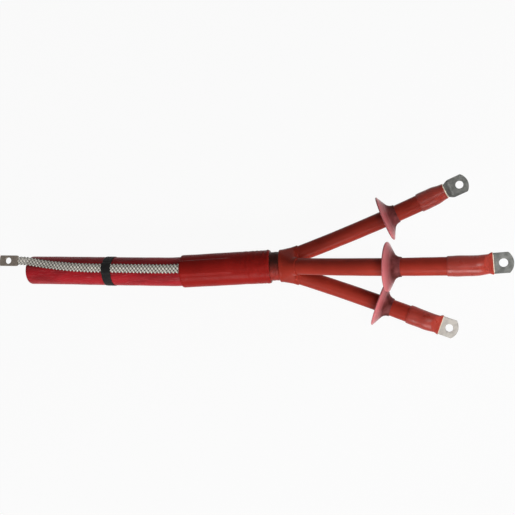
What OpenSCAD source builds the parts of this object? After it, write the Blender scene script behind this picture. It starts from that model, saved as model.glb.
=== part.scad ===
// Three-core outdoor cable termination, shrunk onto a short cut length of cable.
// Lengths are in millimetres and angles in degrees. +X runs along the sealing sleeve to the lugs,
// and +Z is up. The origin is on the sleeve's axis, in the middle of its plain stretch. The part lies
// on the sleeve's underside and on the rims of the two outer rain sheds.

/* [Cable] */
// Outer diameter of the cable
cable_od = 55; // [45:0.5:70]
// Wall of the outer sheath
sheath_wall = 3.2; // [2:0.1:5]
// Length of cable that shows below the sealing sleeve
exposed_length = 308; // [150:1:600]
// Cut end of the sheath, below the origin
sheath_cut = 56; // [52:0.5:70]
// Sideways set of the cable just below the sleeve
cable_bend = 3.8; // [1:0.1:8]
// Radius of that set
cable_bend_radius = 430; // [300:10:900]

/* [Cores] */
// Diameter of a stranded conductor
conductor_d = 11.4; // [8:0.1:13]
// Wall of the core insulation
insulation_wall = 3.9; // [3:0.1:4.5]
// Wall of the semiconducting screen
screen_wall = 0.5; // [0.3:0.1:0.8]
// Wall of the copper tape
tape_wall = 0.2; // [0.1:0.05:0.4]
// Gap between neighbouring cores in the cable
core_gap = 0.2; // [0.1:0.05:1]

/* [Crotch] */
// Length of core in which each core turns out of the cable
crotch_run = 45; // [38:1:60]
// Turn of the upper core in the crotch
spread_upper = 17.4; // [16:0.1:24]
// Turn of the lower core in the crotch
spread_lower = 20.3; // [16:0.1:24]
// Turn of the front core in the crotch, upwards
lift_front = 27; // [24:0.5:32]
// Sideways share of the front core's turn
swing_front = 7.4; // [0:0.1:12]
// Outward lean of the upper core's rise
lean_upper = 15; // [0:1:25]
// Outward lean of the lower core's rise
lean_lower = 10; // [0:1:25]
// Radius at which the front core levels off again
level_radius = 1100; // [900:10:2000]

/* [Core lengths] */
// Upper core from the start of the crotch to the rim of its rain shed
shed_at_upper = 221; // [170:1:260]
// Front core from the start of the crotch to the rim of its rain shed
shed_at_front = 219; // [170:1:260]
// Lower core from the start of the crotch to the rim of its rain shed
shed_at_lower = 205; // [170:1:240]
// Upper core from the start of the crotch to its lug hole
hole_at_upper = 355.5; // [320:0.5:420]
// Front core from the start of the crotch to its lug hole
hole_at_front = 392; // [370:0.5:450]
// Lower core from the start of the crotch to its lug hole
hole_at_lower = 327.5; // [315:0.5:420]
// Copper tape beyond the crotch
tape_run = 25; // [15:1:40]
// Semiconducting screen beyond the copper tape
screen_run = 20; // [10:1:40]

/* [Tubes] */
// Wall of the stress control tube
stress_wall = 2.5; // [1.5:0.05:4]
// Wall of the outer, anti-tracking tube
track_wall = 2.65; // [1.5:0.05:4]

/* [Rain sheds] */
// Outer diameter of a rain shed
shed_od = 82; // [74:0.5:88]
// Fall of the skirt from square to the core
shed_droop = 27; // [15:1:35]
// Thickness of the skirt
shed_thick = 2.8; // [2:0.1:4]
// Wall of the shed's collar
shed_collar_wall = 1.6; // [1:0.1:3]
// Rim to the end of the collar
shed_height = 22; // [20:0.5:30]
// Fillet between the skirt and the collar
shed_fillet = 13; // [4:0.5:14]

/* [Lugs] */
// Outer diameter of a lug's barrel
barrel_od = 19; // [16:0.5:22]
// Length of a lug's barrel
barrel_length = 40; // [30:1:44]
// Barrel bore over the conductor, on the diameter
crimp_clearance = 0.4; // [0.2:0.1:1]
// Length in which the barrel flattens into the palm
neck_length = 12; // [8:0.5:18]
// Width of a lug's palm
palm_width = 32; // [26:0.5:40]
// Thickness of a lug's palm
palm_thick = 5; // [3:0.1:7]
// Radius of the palm's curved end
palm_end_radius = 22; // [17:0.5:40]
// Bolt hole in a lug
lug_hole_d = 13; // [9:0.5:17]
// Bolt hole to the tip of the palm
hole_to_tip = 14.5; // [13:0.5:20]
// Start of the palm to the bolt hole
palm_to_hole = 14; // [10:0.5:20]
// Sideways set of the front lug
lug_set_front = 3; // [0:0.5:4]
// Sideways set of the lower lug
lug_set_lower = 1.5; // [0:0.5:4]

/* [Lug sleeves] */
// Wall of a lug sleeve
lug_sleeve_wall = 1.3; // [0.8:0.1:2.5]
// Part of the lug's neck that its sleeve covers
neck_cover = 0.5; // [0.2:0.1:1]
// Sealant on the lug's barrel, under its sleeve
sealant_length = 26; // [18:0.5:28]
// Lap of the upper sleeve over its tube
sleeve_lap_upper = 5; // [4:1:60]
// Lap of the front sleeve over its tube
sleeve_lap_front = 15; // [4:1:60]
// Lap of the lower sleeve over its tube
sleeve_lap_lower = 4; // [4:1:60]

/* [Breakout boot] */
// Wall of the boot's body
boot_wall = 2.6; // [1.5:0.1:4]
// Wall of the boot's fingers
finger_wall = 1.8; // [1:0.1:3]
// Length of the boot's fingers
finger_length = 12; // [5:0.5:15]
// Length of the boot's base ring
boot_ring = 5; // [4:0.5:10]
// Neck that shows between the sealing sleeve and the boot
neck_gap = 17; // [6:0.5:20]

/* [Sealing sleeve] */
// Wall of the sealing sleeve
sleeve_wall = 3.5; // [2.5:0.1:5]
// Sleeve below the origin
sleeve_below = 137; // [125:1:200]
// Sleeve above the origin
sleeve_above = 30; // [26:1:32]
// Step on the radius at the sleeve's plain stretch
seat_step = 0.5; // [0.4:0.05:0.6]
// Wall of the sleeve where it is stretched over the braid
stretched_wall = 2.9; // [2:0.1:4]

/* [Earth braid] */
// Width of the braid
braid_width = 18; // [12:0.5:24]
// Thickness of the braid over its ridges
braid_thick = 2.4; // [1.6:0.1:4]
// Pitch of the braid's plait
braid_pitch = 8; // [6:0.5:14]
// Place of the braid round the cable, from the top towards +Y
braid_angle = 13.5; // [0:0.5:30]
// Drift of the braid round the cable by its cut end
braid_drift = 24; // [0:0.5:30]
// Turn that lays the braid's palm flat again
braid_twist = 30; // [0:0.5:35]
// Start of the braid's rise before the cable's cut end
lift_before = 55; // [40:1:90]
// Rise of the braid off the cable
braid_lift = 3; // [2:0.1:8]
// Start of the braid's palm beyond the cable's cut end
palm_beyond = 18.5; // [14:0.5:60]
// Length of the braid's palm
earth_palm_length = 36; // [30:1:45]
// Width of the braid's palm
earth_palm_width = 20.5; // [18:0.5:30]
// Radius of the palm's nearly straight end
earth_end_radius = 60; // [20:1:120]
// Thickness of the braid's palm
earth_palm_thick = 3.4; // [2.8:0.1:5]
// Bolt hole in the braid's palm
earth_hole_d = 12.5; // [8:0.5:14]
// Bolt hole to the tip of the braid's palm
earth_hole_to_tip = 18; // [12:0.5:22]
// Clearance under the braid and the pieces that hold it
seat_gap = 0.16; // [0.12:0.01:0.3]
// Braid beyond the roll spring
braid_past = 2; // [1:0.5:6]

/* [Bindings] */
// Width of the binding tape
binding_width = 18; // [12:0.5:25]
// Thickness of the binding tape's turns
binding_thick = 0.9; // [0.4:0.1:2]
// Binding tape below the sealing sleeve, to its middle
binding_at = 143.5; // [80:0.5:200]
// Cut end of the sheath to the roll spring
spring_at = 10; // [9.5:0.5:14]
// Width of the roll spring
spring_width = 20; // [12:0.5:22]
// Thickness of the roll spring's turns
spring_thick = 0.8; // [0.4:0.1:1.5]

/* [Hidden] */
$fn = 96;
facet_fn = 40;
boot_fn = 30;
UPPER = 0;
FRONT = 1;
LOWER = 2;

// Radii from the conductor outwards
cable_r = cable_od / 2;
bedding_r = cable_r - sheath_wall;
conductor_r = conductor_d / 2;
insulation_r = conductor_r + insulation_wall;
screen_r = insulation_r + screen_wall;
tape_r = screen_r + tape_wall;
stress_r = insulation_r + stress_wall;
track_r = stress_r + track_wall;
core_ring = (2 * tape_r + core_gap) / sqrt(3);
bundle_r = core_ring + tape_r;
sleeve_r = cable_r + sleeve_wall;
boot_r = cable_r + boot_wall;
finger_r = track_r + finger_wall;
barrel_r = barrel_od / 2;
lug_sleeve_r = track_r + lug_sleeve_wall;
shed_r = shed_od / 2;

// Stations along the axis
crotch_x = sleeve_above;
boot_x = sleeve_above + neck_gap;
boot_ring_end = boot_x + boot_ring;
sheath_end = -sheath_cut;
spring_start = sheath_end + spring_at;
spring_end = spring_start + spring_width;
braid_end = spring_end + braid_past;
wrap_gap = 2;
wrap_start = braid_end + wrap_gap;
bend_clear = 3;
bend_x = -sleeve_below - bend_clear;
bend_length = cable_bend_radius * cable_bend * PI / 180;
tail_length = exposed_length - bend_clear - bend_length;
cable_end = exposed_length - bend_clear;

// Small lengths that only keep the solids clean
bead = 0.05;
over = 1;

// Each core by number: place round the axis, turn in the crotch, then the rise or levelling beyond it
core_angle = [-30, 90, 210];
crotch_turn = [spread_upper, lift_front, spread_lower];
crotch_roll = [0, 90 + swing_front, 180];
rise_roll = [90 - lean_upper, 180, lean_lower - 90];
shed_at = [shed_at_upper, shed_at_front, shed_at_lower];
hole_at = [hole_at_upper, hole_at_front, hole_at_lower];
lug_turn = [0, lug_set_front, lug_set_lower];
sleeve_lap = [sleeve_lap_upper, sleeve_lap_front, sleeve_lap_lower];
lug_reach = barrel_length + neck_length + palm_to_hole;

// Rise radius at which a shed's rim comes down to the level of the sleeve's underside
rise_drop = shed_r - (sleeve_r - core_ring / 2);
function level_rise(a) = (a * a + sqrt(pow(a, 4) + 8 * rise_drop * shed_r * a * a)) / (4 * rise_drop);
rise_radius = [
    level_rise(shed_at_upper - crotch_run) * cos(lean_upper),
    level_radius,
    level_rise(shed_at_lower - crotch_run) * cos(lean_lower)
];

function core_y(core) = core_ring * cos(core_angle[core]);
function core_z(core) = core_ring * sin(core_angle[core]);
function degrees(length, radius) = length / radius * 180 / PI;
function crotch_radius(core) = crotch_run / (crotch_turn[core] * PI / 180);
function rise_angle(core, length) = degrees(length, rise_radius[core]);
function lug_start(core) = hole_at[core] - crotch_run - lug_reach;
function sleeve_mouth(core) = lug_start(core) + barrel_length + neck_cover;
function smooth(x) = let (t = max(0, min(1, x))) t * t * (3 - 2 * t);
function mix(a, b, t) = a * (1 - t) + b * t;

// The cable's axis at a distance behind the start of its bend, with its turn there
function tail_turn(d) = max(0, min(cable_bend, degrees(d, cable_bend_radius)));
function tail_extra(d) = d < 0 ? d : max(0, d - bend_length);
function tail_point(d) = let (a = tail_turn(d)) [
    bend_x - cable_bend_radius * sin(a) - tail_extra(d) * cos(a),
    cable_bend_radius * (1 - cos(a)) + tail_extra(d) * sin(a),
    0
];
function tail_side(d) = [sin(tail_turn(d)), cos(tail_turn(d)), 0];

// The braid by the same distance: turn round the cable, seat radius, lie of its face and flatness
UP = [0, 0, 1];
drift_start = binding_at + binding_width / 2;
drift_ease = 0.07;
braid_palm_at = cable_end + palm_beyond;
lift_start = cable_end - lift_before;
lift_length = 60;
flat_start = lift_start - lift_length / 2;
drop_start = sheath_end + over - bend_x;
drop_length = 8;
braid_grip = 3;
braid_seat = cable_r + seat_gap;
function drifted(t) = let (slow = 1 - drift_ease, u = max(0, min(2 * drift_ease, t - slow)))
    pow(max(0, min(slow, t)), 2) + 2 * slow * (u - u * u / (4 * drift_ease));
function braid_turn(d) =
    braid_angle + braid_drift * drifted((d - drift_start) / (cable_end - drift_start));
function braid_seat_r(d) =
    mix(mix(braid_seat, bundle_r + 2 * seat_gap, smooth((-d - drop_start) / drop_length)),
        braid_seat + braid_lift, smooth((d - lift_start) / lift_length));
function braid_face(d) =
    braid_turn(d) - braid_twist * smooth((d - lift_start) / (braid_palm_at - lift_start));
function braid_flat(d) = smooth((d - flat_start) / lift_length);
function round_cable(d, turn, r) = tail_point(d) + r * (sin(turn) * tail_side(d) + cos(turn) * UP);
function braid_centre(d) = round_cable(d, braid_turn(d), braid_seat_r(d));
function braid_point(d, across, height) = let (
    r = braid_seat_r(d),
    turn = braid_turn(d),
    face = braid_face(d),
    wrapped = round_cable(d, turn + degrees(across, r), r + height),
    flat = braid_centre(d)
        + across * (cos(face) * tail_side(d) - sin(face) * UP)
        + height * (sin(face) * tail_side(d) + cos(face) * UP)
) mix(wrapped, flat, braid_flat(d));

// A rod along +X, and a rod that turns from +X towards +Y
module rod(length, r) {
    rotate([0, 90, 0])
        cylinder(h = length, r = r);
}

module bent_rod(radius, turn, r) {
    translate([0, radius, 0])
        rotate([0, 0, -90])
            rotate_extrude(angle = turn)
                translate([radius, 0])
                    circle(r);
}

// Closes the joint between two rods
module joint(r) {
    rotate([0, 90, 0])
        sphere(r + bead);
}

// Places its children where a bent rod ends
module after_bend(radius, turn) {
    translate([radius * sin(turn), radius * (1 - cos(turn)), 0])
        rotate([0, 0, turn])
            children();
}

// A round section along the cable, offset sideways by y and z, from the bend to its cut end
module tail_run(y, z, r, extra = 0) {
    radius = cable_bend_radius - y;
    translate([bend_x, y, z])
        mirror([1, 0, 0]) {
            joint(r);
            bent_rod(radius, cable_bend, r);
            after_bend(radius, cable_bend) {
                joint(r);
                rod(tail_length + extra, r);
            }
        }
}

module at_crotch(core) {
    translate([crotch_x, core_y(core), core_z(core)])
        rotate([crotch_roll[core], 0, 0])
            children();
}

module at_rise(core) {
    at_crotch(core)
        after_bend(crotch_radius(core), crotch_turn[core])
            rotate([rise_roll[core], 0, 0])
                children();
}

// Places its children a length up the rise, turned so that +Z is up again
module up_core(core, length) {
    at_rise(core)
        after_bend(rise_radius[core], rise_angle(core, length))
            rotate([-crotch_roll[core] - rise_roll[core], 0, 0])
                children();
}

module at_lug(core) {
    up_core(core, lug_start(core))
        rotate([0, 0, lug_turn[core]])
            children();
}

// A round section on the rise, between two lengths up it
module rise_rod(core, r, from, to) {
    at_rise(core)
        after_bend(rise_radius[core], rise_angle(core, from))
            bent_rod(rise_radius[core], rise_angle(core, to - from), r);
}

// A round section along a core, from a station in the cable through the crotch
module crotch_run_rod(core, r, from_x) {
    translate([from_x, core_y(core), core_z(core)])
        rod(crotch_x - from_x, r);
    at_crotch(core) {
        joint(r);
        bent_rod(crotch_radius(core), crotch_turn[core], r);
    }
}

// A round section along a whole core, from the cable's cut end to a length up the rise
module core_run(core, r, rise, extra = 0) {
    tail_run(core_y(core), core_z(core), r, extra);
    crotch_run_rod(core, r, bend_x);
    at_rise(core)
        joint(r);
    rise_rod(core, r, 0, rise + extra);
}

module core_layer(core, outer, inner, rise) {
    difference() {
        core_run(core, outer, rise);
        core_run(core, inner, rise, over);
    }
}

module cable_run(r, extra = 0) {
    tail_run(0, 0, r, extra);
    translate([bend_x, 0, 0])
        rod(sheath_end - bend_x + extra, r);
}

module on_tail(d) {
    translate(tail_point(d))
        rotate([0, 0, -tail_turn(d)])
            children();
}

module outer_sheath() {
    color("firebrick")
        difference() {
            cable_run(cable_r);
            cable_run(bedding_r, over);
        }
}

module bedding() {
    color("dimgray")
        difference() {
            cable_run(bedding_r);
            for (core = [UPPER, FRONT, LOWER]) {
                tail_run(core_y(core), core_z(core), tape_r, over);
                translate([bend_x, core_y(core), core_z(core)])
                    rod(sheath_end - bend_x + over, tape_r);
            }
        }
}

module conductor(core) {
    color("peru") {
        core_run(core, conductor_r, lug_start(core));
        at_lug(core) {
            joint(conductor_r);
            rod(barrel_length - over, conductor_r);
        }
    }
}

module insulation(core) {
    color("ivory")
        core_layer(core, insulation_r, conductor_r, lug_start(core) - over);
}

module core_screen(core) {
    color("black")
        core_layer(core, screen_r, insulation_r, tape_run + screen_run);
}

module copper_tape(core) {
    color("chocolate")
        core_layer(core, tape_r, screen_r, tape_run);
}

module stress_tube(core) {
    color("black")
        difference() {
            rise_rod(core, stress_r, 0, lug_start(core) - over);
            rise_rod(core, tape_r + bead, -over, tape_run);
            rise_rod(core, screen_r, 0, tape_run + screen_run);
            rise_rod(core, insulation_r, 0, lug_start(core));
        }
}

module track_tube(core) {
    color("brown")
        difference() {
            rise_rod(core, track_r, 0, lug_start(core));
            rise_rod(core, stress_r, -over, lug_start(core) + over);
        }
}

// The skirt's middle line falls from its root to the rim, and the fillet eases it into the collar
module shed_profile() {
    half = shed_thick / 2;
    rim = [shed_r - half, 0];
    root_r = track_r - over;
    collar_r = track_r + shed_collar_wall;
    fall = tan(shed_droop);
    top_step = half / cos(shed_droop);
    corner_h = (rim[0] - collar_r) * fall + top_step;
    centre_r = collar_r + shed_fillet;
    centre_h = (rim[0] - centre_r) * fall + top_step + shed_fillet / cos(shed_droop);
    fillet_top = min(centre_h, shed_height);
    translate(rim)
        circle(half + bead);
    polygon([
        rim - half * [sin(shed_droop), cos(shed_droop)],
        rim + half * [sin(shed_droop), cos(shed_droop)],
        [root_r - over, (rim[0] - root_r + over) * fall + top_step],
        [root_r - over, (rim[0] - root_r + over) * fall - top_step]
    ]);
    translate([root_r, (rim[0] - root_r) * fall])
        square([collar_r - root_r, shed_height - (rim[0] - root_r) * fall]);
    difference() {
        polygon([
            [collar_r - over, corner_h - top_step],
            [centre_r, centre_h] - shed_fillet * [sin(shed_droop), cos(shed_droop)],
            [centre_r, fillet_top],
            [collar_r - over, fillet_top]
        ]);
        translate([centre_r, centre_h])
            circle(shed_fillet + bead);
    }
}

module rain_shed(core) {
    place = shed_at[core] - crotch_run;
    color("indianred")
        difference() {
            up_core(core, place)
                rotate([0, 90, 0])
                    rotate_extrude()
                        shed_profile();
            rise_rod(core, track_r, place - shed_r, place + shed_r);
        }
}

// A palm's outline with a curved end, from its start at x = 0
module palm_outline(length, width, end_radius) {
    intersection() {
        translate([0, -width / 2])
            square([length, width]);
        translate([length - end_radius, 0])
            circle(end_radius);
    }
    translate([0, -width / 2])
        square([max(over, length - end_radius), width]);
}

module cable_lug(core) {
    palm_start = barrel_length + neck_length;
    palm_length = palm_to_hole + hole_to_tip;
    color("silver")
        at_lug(core)
            difference() {
                union() {
                    rod(barrel_length, barrel_r);
                    hull() {
                        translate([barrel_length - over, 0, 0])
                            rotate([0, 90, 0])
                                cylinder(h = over, r = barrel_r - bead, $fn = facet_fn);
                        translate([palm_start, -palm_width / 2, -barrel_r])
                            cube([over, palm_width, palm_thick]);
                    }
                    translate([palm_start, 0, -barrel_r])
                        linear_extrude(palm_thick)
                            palm_outline(palm_length, palm_width, palm_end_radius);
                }
                translate([-over, 0, 0])
                    rod(barrel_length, conductor_r + crimp_clearance / 2);
                translate([lug_reach, 0, -barrel_r - over])
                    cylinder(h = palm_thick + 2 * over, d = lug_hole_d);
            }
}

module lug_sealant(core) {
    color("cornsilk")
        difference() {
            rise_rod(core, track_r - bead, lug_start(core), lug_start(core) + sealant_length);
            at_lug(core)
                translate([-barrel_od, 0, 0])
                    rod(barrel_od + barrel_length + over, barrel_r);
        }
}

module lug_sleeve(core) {
    start = lug_start(core) - sleeve_lap[core];
    color("brown")
        difference() {
            rise_rod(core, lug_sleeve_r, start, sleeve_mouth(core));
            rise_rod(core, track_r, start - over, sleeve_mouth(core) + over);
        }
}

// One finger's way through the boot, from its base ring to the end of the finger
module boot_way(core, base_r, tip_r, tip_length, base_x) {
    lobe = 0.1;
    inset = 0.3;
    hull() {
        translate([base_x - inset * core, lobe * core_y(core), lobe * core_z(core)])
            rotate([0, 90, 0])
                cylinder(h = over, r = base_r - lobe * core_ring - inset, $fn = boot_fn);
        at_rise(core)
            rotate([0, 90, 0])
                cylinder(h = bead, r = tip_r - inset / 2, $fn = boot_fn);
    }
    rise_rod(core, tip_r, -over, tip_length);
}

module breakout_boot() {
    color("firebrick")
        difference() {
            union() {
                translate([boot_x, 0, 0])
                    rod(boot_ring, boot_r);
                for (core = [UPPER, FRONT, LOWER])
                    boot_way(core, boot_r, finger_r, finger_length, boot_ring_end - 2.5 * over);
            }
            translate([boot_x - over, 0, 0])
                rod(boot_ring, cable_r);
            for (core = [UPPER, FRONT, LOWER])
                boot_way(core, cable_r, track_r, finger_length + over, boot_ring_end - 2 * over);
        }
}

module neck_wrap() {
    color("maroon")
        difference() {
            translate([wrap_start, 0, 0])
                rod(boot_ring_end - over - wrap_start, cable_r);
            for (core = [UPPER, FRONT, LOWER])
                crotch_run_rod(core, tape_r, wrap_start - over);
        }
}

// Section round the cable that also takes in the braid, in the plane across the cable
module strap_outline(base_r, top_r, grow) {
    half_angle = degrees(braid_width / 2, base_r);
    hull() {
        circle(base_r + grow, $fn = 2 * facet_fn);
        for (side = [-1:0.5:1])
            rotate(-braid_angle + side * half_angle)
                translate([0, top_r])
                    circle(grow, $fn = facet_fn);
    }
}

module strap_ring(length, base_r, top_r, thick) {
    rotate([90, 0, 90])
        linear_extrude(length)
            difference() {
                strap_outline(base_r, top_r, seat_gap + thick);
                strap_outline(base_r, top_r, seat_gap);
            }
}

// A sector of a ring over the braid, cut in facets, in the plane across the cable
module ridge_outline(inner_r, top_r, margin) {
    half_angle = degrees(braid_width / 2 + margin, cable_r);
    facets = 8;
    turns = [for (k = [0:facets]) braid_angle + half_angle * (2 * k / facets - 1)];
    polygon(concat(
        [for (k = [facets:-1:0]) top_r * [sin(turns[k]), cos(turns[k])]],
        [for (k = [0:facets]) inner_r * [sin(turns[k]), cos(turns[k])]]
    ));
}

module ridge(length, inner_r, top_r, margin) {
    rotate([90, 0, 90])
        linear_extrude(length)
            ridge_outline(inner_r, top_r, margin);
}

// The sleeve's plain stretch, centred on the origin, is a shade thicker and takes a cable cleat
module sealing_sleeve() {
    ridge_end = sheath_end + 2 * over + drop_length;
    ridge_fade = 18;
    slot_r = braid_seat + braid_thick + seat_gap;
    root_r = cable_r + over;
    color("brown")
        difference() {
            union() {
                translate([-sleeve_below, 0, 0])
                    rod(sleeve_below, sleeve_r - seat_step);
                translate([-sleeve_above, 0, 0])
                    rod(2 * sleeve_above, sleeve_r);
                translate([-sleeve_below, 0, 0])
                    ridge(sleeve_below + ridge_end, root_r, slot_r + stretched_wall, stretched_wall);
                hull() {
                    translate([ridge_end - over, 0, 0])
                        ridge(over, root_r, slot_r + stretched_wall, stretched_wall);
                    translate([ridge_end + ridge_fade, 0, 0])
                        ridge(over, root_r, root_r + over, 0);
                }
            }
            translate([-sleeve_below - over, 0, 0])
                rod(sleeve_below + sleeve_above + 2 * over, cable_r);
            translate([-sleeve_below - over, 0, 0])
                ridge(sleeve_below + ridge_end + over, cable_r - over, slot_r, over);
        }
}

// The braid is a ribbon of plaited ridges: each ring has ridged points on top and plain ones below
module earth_braid() {
    first = -(braid_end - bend_x);
    last = braid_palm_at + braid_grip;
    rings_a_pitch = 4;
    steps = round((last - first) / braid_pitch * rings_a_pitch);
    top_points = 9;
    under_points = 5;
    ring = top_points + under_points;
    valley = 0.72;
    slant = 1.2;
    function plait(d, across) =
        mix(valley, 1, 0.5 + 0.5 * cos(360 * (d - slant * abs(across)) / braid_pitch));
    function top(d, k) = let (across = braid_width * (k / (top_points - 1) - 0.5))
        braid_point(d, across, braid_thick * plait(d, across));
    function under(d, k) = braid_point(d, braid_width * (0.5 - k / (under_points - 1)), 0);
    points = [
        for (i = [0:steps])
            let (d = mix(first, last, i / steps))
                for (k = [0:ring - 1])
                    k < top_points ? top(d, k) : under(d, k - top_points)
    ];
    sides = [
        for (i = [0:steps - 1])
            for (k = [0:ring - 1])
                let (a = i * ring + k, b = i * ring + (k + 1) % ring)
                    for (face = [[a, b, b + ring], [a, b + ring, a + ring]])
                        face
    ];
    start_cap = [for (k = [1:ring - 2]) [0, k + 1, k]];
    tip = steps * ring;
    end_cap = [for (k = [1:ring - 2]) [tip, tip + k, tip + k + 1]];
    color("tan")
        polyhedron(points, concat(sides, start_cap, end_cap));
}

// The braid's end is pressed flat in the mouth of its palm
module earth_palm() {
    d = braid_palm_at;
    ahead = braid_centre(d + braid_grip) - braid_centre(d);
    swing = atan2(ahead[1], -ahead[0]);
    pitch = atan2(ahead[2], norm([ahead[0], ahead[1]]));
    lap = (earth_palm_thick - braid_thick) / 2;
    mouth = [over + braid_grip + seat_gap, braid_width + 2 * seat_gap, braid_thick + 2 * seat_gap];
    color("gray")
        translate(braid_centre(d))
            rotate([0, 0, -swing])
                rotate([0, pitch, 0])
                    mirror([1, 0, 0])
                        rotate([-braid_face(d), 0, 0])
                            difference() {
                                translate([0, 0, -lap])
                                    linear_extrude(earth_palm_thick)
                                        palm_outline(earth_palm_length, earth_palm_width, earth_end_radius);
                                translate([-over, -mouth[1] / 2, -seat_gap])
                                    cube(mouth);
                                translate([earth_palm_length - earth_hole_to_tip, 0, -lap - over])
                                    cylinder(h = earth_palm_thick + 2 * over, d = earth_hole_d);
                            }
}

module binding_tape() {
    color("black")
        on_tail(binding_at + binding_width / 2 - bend_clear)
            strap_ring(binding_width, cable_r, braid_seat + braid_thick, binding_thick);
}

module roll_spring() {
    color("lightgray")
        translate([spring_start, 0, 0])
            strap_ring(spring_width, bundle_r, bundle_r + 2 * seat_gap + braid_thick, spring_thick);
}

outer_sheath();
bedding();
conductor(UPPER);  // conductor_upper
conductor(FRONT);  // conductor_front
conductor(LOWER);  // conductor_lower
insulation(UPPER);  // insulation_upper
insulation(FRONT);  // insulation_front
insulation(LOWER);  // insulation_lower
core_screen(UPPER);  // core_screen_upper
core_screen(FRONT);  // core_screen_front
core_screen(LOWER);  // core_screen_lower
copper_tape(UPPER);  // copper_tape_upper
copper_tape(FRONT);  // copper_tape_front
copper_tape(LOWER);  // copper_tape_lower
stress_tube(UPPER);  // stress_tube_upper
stress_tube(FRONT);  // stress_tube_front
stress_tube(LOWER);  // stress_tube_lower
track_tube(UPPER);  // track_tube_upper
track_tube(FRONT);  // track_tube_front
track_tube(LOWER);  // track_tube_lower
rain_shed(UPPER);  // rain_shed_upper
rain_shed(FRONT);  // rain_shed_front
rain_shed(LOWER);  // rain_shed_lower
cable_lug(UPPER);  // cable_lug_upper
cable_lug(FRONT);  // cable_lug_front
cable_lug(LOWER);  // cable_lug_lower
lug_sealant(UPPER);  // lug_sealant_upper
lug_sealant(FRONT);  // lug_sealant_front
lug_sealant(LOWER);  // lug_sealant_lower
lug_sleeve(UPPER);  // lug_sleeve_upper
lug_sleeve(FRONT);  // lug_sleeve_front
lug_sleeve(LOWER);  // lug_sleeve_lower
breakout_boot();
neck_wrap();
sealing_sleeve();
earth_braid();
earth_palm();
binding_tape();
roll_spring();
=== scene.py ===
import math

import bmesh
import bpy
from mathutils import Matrix, Vector, noise


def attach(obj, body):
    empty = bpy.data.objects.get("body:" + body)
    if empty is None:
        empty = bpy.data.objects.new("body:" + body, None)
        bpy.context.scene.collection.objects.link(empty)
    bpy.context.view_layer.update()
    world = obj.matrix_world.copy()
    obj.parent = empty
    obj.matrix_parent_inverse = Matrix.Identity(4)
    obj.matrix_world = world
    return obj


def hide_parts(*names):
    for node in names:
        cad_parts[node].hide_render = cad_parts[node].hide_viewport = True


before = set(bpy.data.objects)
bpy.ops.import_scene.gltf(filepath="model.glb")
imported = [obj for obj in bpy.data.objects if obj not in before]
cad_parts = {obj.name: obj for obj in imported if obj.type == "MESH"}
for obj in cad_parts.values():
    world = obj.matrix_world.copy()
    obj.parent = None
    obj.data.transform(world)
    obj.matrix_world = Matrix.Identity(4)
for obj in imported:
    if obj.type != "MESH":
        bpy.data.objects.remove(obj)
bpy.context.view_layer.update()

bl_info = {
    "name": "Cable termination",
    "version": (1, 0, 0),
    "blender": (4, 5, 0),
    "location": "View3D > Sidebar > Termination",
    "description": "Dresses the frame of a three-core outdoor cable termination",
    "category": "Object",
}

# A millimetre in metres
MM = 0.001

# Sizes of the solids in millimetres, repeated from the part's source
CABLE_R = 27.5
BEDDING_R = 24.3
CORE_RING = 12.009
CONDUCTOR_R = 5.7
STRESS_R = 12.1
TRACK_R = 14.75
SLEEVE_R = 31.0
SLEEVE_START, SLEEVE_END = -137.0, 30.0
BOOT_START, BOOT_RING_END, BOOT_R = 47.0, 52.0, 30.1
FINGER_R, FINGER_LENGTH = 16.55, 12.0
CABLE_BEND, CABLE_BEND_RADIUS = math.radians(3.8), 430.0
BEND_X, CABLE_END = -140.0, 305.0
CROTCH_X, CROTCH_RUN = 30.0, 45.0
BARREL_R, BARREL_LENGTH, NECK_LENGTH = 9.5, 40.0, 12.0
PALM_WIDTH, PALM_THICK, PALM_END_RADIUS = 32.0, 5.0, 22.0
PALM_TO_HOLE, HOLE_TO_TIP, LUG_HOLE_R = 14.0, 14.5, 6.5
PALM_START = BARREL_LENGTH + NECK_LENGTH
LUG_REACH = PALM_START + PALM_TO_HOLE
LUG_DROP = PALM_THICK / 2 - BARREL_R
PRESS_START = 37.0
LUG_SLEEVE_R = 16.05
SHED_R, SHED_HEIGHT, SHED_DROOP, SHED_THICK = 41.0, 22.0, math.radians(27), 2.8
SHED_COLLAR_WALL, SHED_FILLET = 1.6, 13.0
BRAID_WIDTH, BRAID_THICK = 18.0, 2.4
BRAID_ANGLE, BRAID_DRIFT, BRAID_TWIST, BRAID_LIFT = 13.5, 24, 30, 3
SEAT_GAP = 0.16
BRAID_SEAT = CABLE_R + SEAT_GAP
CORE_R = 10.3
BINDING_AT, BINDING_WIDTH = 143.5, 18.0
LIFT_BEFORE, PALM_BEYOND = 55, 18.5
PALM_AT = CABLE_END + PALM_BEYOND
EARTH_LENGTH, EARTH_WIDTH, EARTH_THICK, EARTH_END_RADIUS = 36.0, 20.5, 3.4, 60.0
EARTH_HOLE_R, EARTH_HOLE_TO_TIP = 6.25, 18.0
BENCH_Z = -31.0

# Counts of points round a piece
COARSE, ROUND, CLOSE, FINE = 48, 64, 96, 120

# Light of the backdrop where it is seen, and on the object
BACKDROP_WHITE, AMBIENT = 0.94, 0.08

# Each core: place round the axis, turn in the crotch, roll there and beyond, lean or radius of its rise,
# places of shed and lug hole, set of the lug, and lap of the lug sleeve on the tube
CORES = {
    "upper": dict(angle=-30, turn=17.4, roll=0, rise_roll=75, lean=15, shed=221, hole=355.5,
                  lug_turn=0, lap=5),
    "front": dict(angle=90, turn=27, roll=97.4, rise_roll=180, radius=1100, shed=219, hole=392,
                  lug_turn=3, lap=15),
    "lower": dict(angle=210, turn=20.3, roll=180, rise_roll=-80, lean=10, shed=205, hole=327.5,
                  lug_turn=1.5, lap=4),
}


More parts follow.
